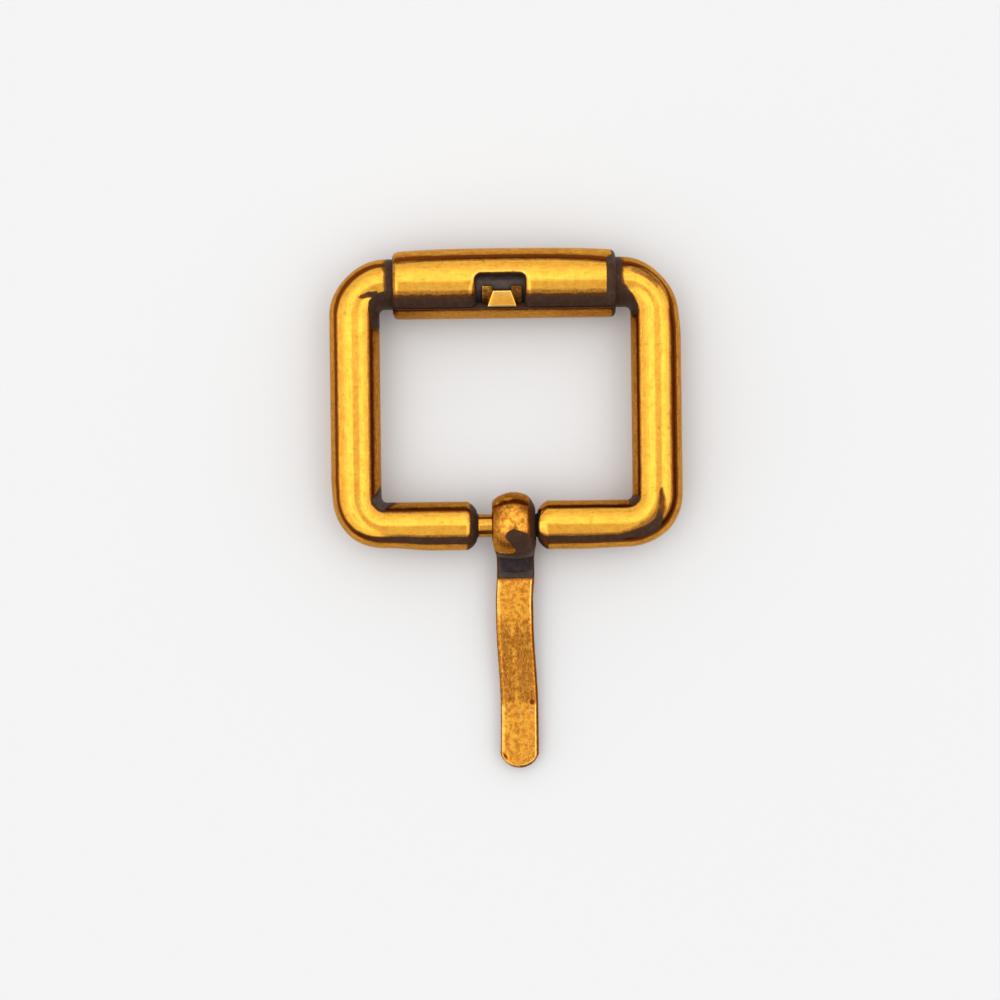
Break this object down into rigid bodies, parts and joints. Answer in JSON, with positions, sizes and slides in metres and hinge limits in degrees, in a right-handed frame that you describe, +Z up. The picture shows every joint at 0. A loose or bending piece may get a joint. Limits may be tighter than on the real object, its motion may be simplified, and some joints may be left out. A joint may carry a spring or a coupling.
{
  "type": "roller buckle",
  "caption": "Roller buckle for a flat strap: a bent wire frame with a sheet-metal roller on its front bar and a prong that swings on the necked strap bar.",
  "frame": {"origin": "on the strap bar's axis, midway between the side bars", "axes": "+X along the strap bar, +Y from the strap bar towards the roller, +Z up, out of the face that the closed prong lies on"},
  "size_m": [0.028, 0.0416, 0.0056],
  "materials": {
    "frame_brass": "antique brass, polished high spots with black patina in the bends and beside the roller",
    "roller_brass": "antique brass, polished, with black patina in the notch and the seam",
    "prong_brass": "antique brass, brushed and speckled, with black patina at the heel"
  },
  "bodies": {
    "frame": {"frame": "frame_brass"},
    "roller": {"roller": "roller_brass"},
    "prong": {"prong": "prong_brass"}
  },
  "joints": [
    {"name": "roller_spin", "type": "hinge", "parent": "frame", "child": "roller", "pos_m": [0, 0.0193, 0], "axis": [1, 0, 0], "continuous": true},
    {"name": "prong_swing", "type": "hinge", "parent": "frame", "child": "prong", "pos_m": [0, 0, 0], "axis": [-1, 0, 0], "range_deg": [-162.5, 175.5]}
  ]
}
